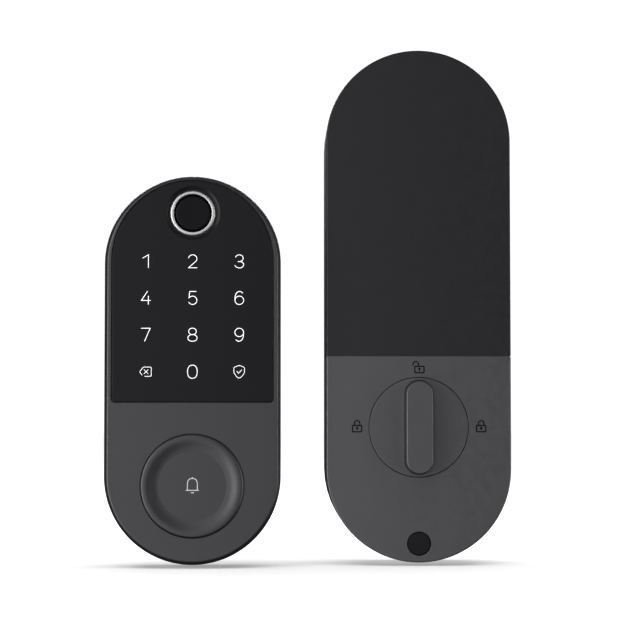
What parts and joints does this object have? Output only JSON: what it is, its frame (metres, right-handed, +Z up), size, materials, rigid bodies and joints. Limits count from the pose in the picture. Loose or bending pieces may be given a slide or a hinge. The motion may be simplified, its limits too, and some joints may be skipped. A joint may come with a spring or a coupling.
{
  "type": "keypad smart lock",
  "caption": "Door smart lock as a pair: exterior unit with touch keypad, fingerprint sensor and doorbell push; interior unit with thumb turn, gear drive, tailpiece and battery bay.",
  "frame": {"origin": "middle of the pair's bounding box seen from above, at the level of both units' feet", "axes": "+X from the exterior unit to the interior unit, +Y from the fronts towards the backs, +Z up; both fronts face -Y"},
  "size_m": [0.1546, 0.089, 0.1966],
  "materials": {
    "grey_paint": "satin grey paint on a zinc casting",
    "black_gloss": "polished black front panel",
    "sensor": "black coated sensor face",
    "cover_black": "fine matte texture, near black",
    "dark_plastic": "moulded, matte",
    "rubber": "soft, matte",
    "bright_metal": "bright plated ring",
    "steel": "zinc plated",
    "brass": "machined",
    "white_plastic": "moulded, off white",
    "circuit_board": "green solder mask",
    "cell": "plain printed sleeve on a steel can"
  },
  "bodies": {
    "lock": {"exterior_housing": "grey_paint", "interior_housing": "grey_paint", "keypad_panel": "black_gloss", "fingerprint_sensor": "sensor", "exterior_back_plate": "dark_plastic", "doorbell_switch": "dark_plastic", "speaker": "dark_plastic", "interior_base": "dark_plastic", "interior_chassis": "dark_plastic", "exterior_gasket": "rubber", "cable_grommet": "rubber", "fingerprint_bezel": "bright_metal", "doorbell_spring": "steel", "emergency_power_port": "steel", "exterior_screw_1": "steel", "exterior_screw_2": "steel", "exterior_screw_3": "steel", "exterior_screw_4": "steel", "mounting_plate": "steel", "fixing_screw_1": "steel", "fixing_screw_2": "steel", "fixing_screw_3": "steel", "idler_pin": "steel", "drive_motor": "steel", "gear_plate": "steel", "gear_screw_1": "steel", "gear_screw_2": "steel", "gear_screw_3": "steel", "gear_screw_4": "steel", "battery_spring_1": "steel", "battery_spring_2": "steel", "battery_spring_3": "steel", "battery_spring_4": "steel", "battery_contact_1": "steel", "battery_contact_2": "steel", "battery_contact_3": "steel", "battery_contact_4": "steel", "battery_contact_5": "steel", "mounting_post_left": "brass", "mounting_post_right": "brass", "keypad_light_guide": "white_plastic", "cable_socket": "white_plastic", "turn_bush": "white_plastic", "keypad_board": "circuit_board", "exterior_board": "circuit_board", "interior_board": "circuit_board", "battery_1": "cell", "battery_2": "cell", "battery_3": "cell", "battery_4": "cell"},
    "turn": {"thumb_turn": "grey_paint", "turn_shaft": "steel", "tailpiece": "steel", "output_gear": "white_plastic"},
    "idler": {"idler_gear": "white_plastic"},
    "pinion": {"motor_pinion": "brass"},
    "bell": {"doorbell_button": "grey_paint"},
    "cover": {"battery_cover": "cover_black"},
    "plug": {"screw_plug": "rubber"}
  },
  "joints": [
    {"name": "thumb_turn_hinge", "type": "hinge", "parent": "lock", "child": "turn", "pos_m": [0.0419, -0.0365, 0.0515], "axis": [0, 1, 0], "range_deg": [-90, 90]},
    {"name": "idler_hinge", "type": "hinge", "parent": "lock", "child": "idler", "pos_m": [0.02486, -0.02, 0.03446], "axis": [0, 1, 0], "range_deg": [-270, 270]},
    {"name": "pinion_hinge", "type": "hinge", "parent": "lock", "child": "pinion", "pos_m": [0.04377, -0.016, 0.0318], "axis": [0, 1, 0], "range_deg": [-756, 756]},
    {"name": "doorbell_press", "type": "slide", "parent": "lock", "child": "bell", "axis": [0, 1, 0], "range_m": [0, 0.001], "stiffness_N_per_m": 400, "springref_m": -0.003, "deforming": ["doorbell_spring"]},
    {"name": "battery_cover_lift", "type": "slide", "parent": "lock", "child": "cover", "axis": [0, 0, 1], "range_m": [0, 0.118]},
    {"name": "screw_plug_pull", "type": "slide", "parent": "lock", "child": "plug", "axis": [0, -1, 0], "range_m": [0, 0.008]}
  ],
  "couplings": [
    {"joint": "idler_hinge", "follows": "thumb_turn_hinge", "ratio": -3},
    {"joint": "pinion_hinge", "follows": "thumb_turn_hinge", "ratio": 8.4}
  ]
}
